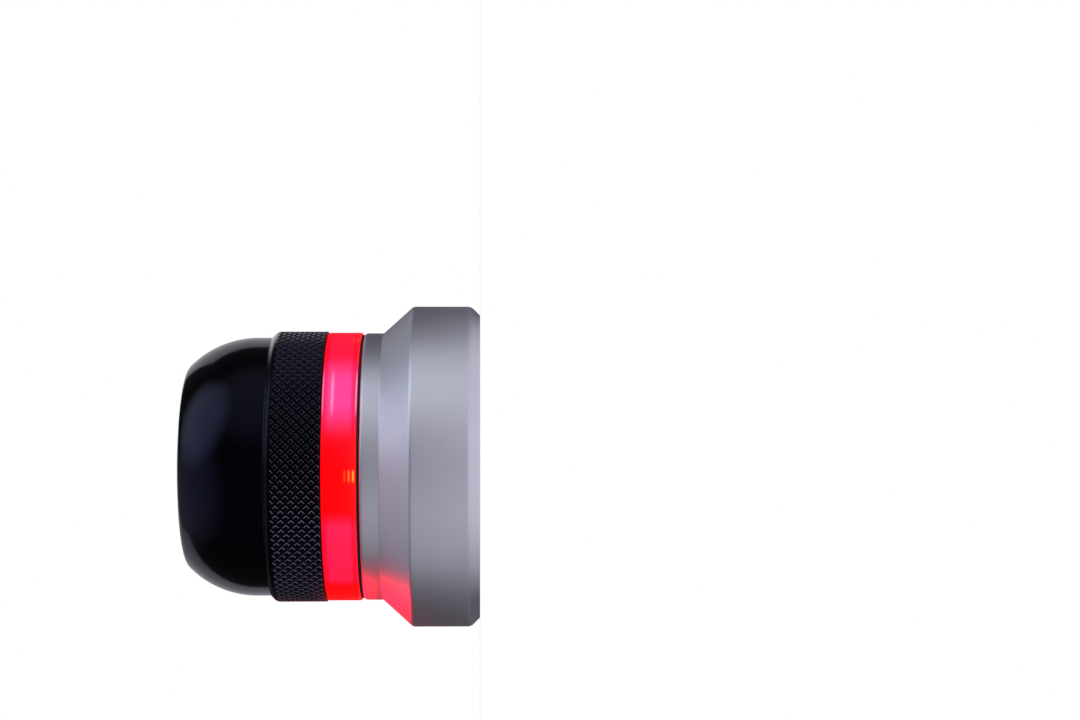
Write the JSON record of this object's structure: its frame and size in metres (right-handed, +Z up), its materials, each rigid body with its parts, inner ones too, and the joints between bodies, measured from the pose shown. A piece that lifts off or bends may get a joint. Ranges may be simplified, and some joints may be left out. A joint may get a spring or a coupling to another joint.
{
  "type": "tool setter",
  "caption": "Round tool setter that stands on a table: flanged metal base, red light ring, knurled ring that unscrews, and a sprung domed cap with a flat measuring face.",
  "frame": {"origin": "centre of the underside of the base, on the table", "axes": "+Z up along the axis of revolution, from the base to the measuring face; the lamps, clips and probe are placed by angle from +X"},
  "size_m": [0.055, 0.055, 0.05],
  "materials": {
    "satin_aluminium": "satin turned, clear anodised",
    "black_aluminium": "black anodised, satin",
    "red_lens": "clear red polycarbonate, lit from inside",
    "seal_rubber": "matt black",
    "board_laminate": "glass-epoxy board",
    "chip_resin": "moulded",
    "lamp_resin": "clear lamp",
    "bright_steel": "bright ground",
    "cell_can": "plated can",
    "sleeve_plastic": "moulded",
    "contact_brass": "gold-coloured plate",
    "bush_bronze": "sintered bronze"
  },
  "bodies": {
    "base": {"base_body": "satin_aluminium", "lower_gasket": "seal_rubber", "circuit_board": "board_laminate", "board_chips": "chip_resin", "leds": "lamp_resin", "light_ring": "red_lens", "ring_screws": "bright_steel", "cell_sleeve": "sleeve_plastic", "contact_disc": "contact_brass", "coin_cell": "cell_can", "cell_clips": "contact_brass", "contact_probe": "contact_brass"},
    "seal": {"upper_gasket": "seal_rubber"},
    "housing": {"knurled_ring": "black_aluminium", "guide_bush": "bush_bronze", "contact_ring": "contact_brass", "return_spring": "bright_steel"},
    "cap": {"sensing_cap": "black_aluminium", "plunger_stem": "bright_steel", "stop_clip": "bright_steel"}
  },
  "joints": [
    {"name": "ring_lift", "type": "slide", "parent": "base", "child": "seal", "axis": [0, 0, 1], "range_m": [0, 0.0031]},
    {"name": "ring_turn", "type": "hinge", "parent": "seal", "child": "housing", "pos_m": [0, 0, 0.028], "axis": [0, 0, 1], "range_deg": [0, 900]},
    {"name": "cap_press", "type": "slide", "parent": "housing", "child": "cap", "axis": [0, 0, 1], "range_m": [-0.0025, 0], "stiffness_N_per_m": 600, "springref_m": 0.004, "deforming": ["return_spring"]}
  ],
  "couplings": [
    {"joint": "ring_lift", "follows": "ring_turn", "m_per_rad": 0.00019099}
  ]
}
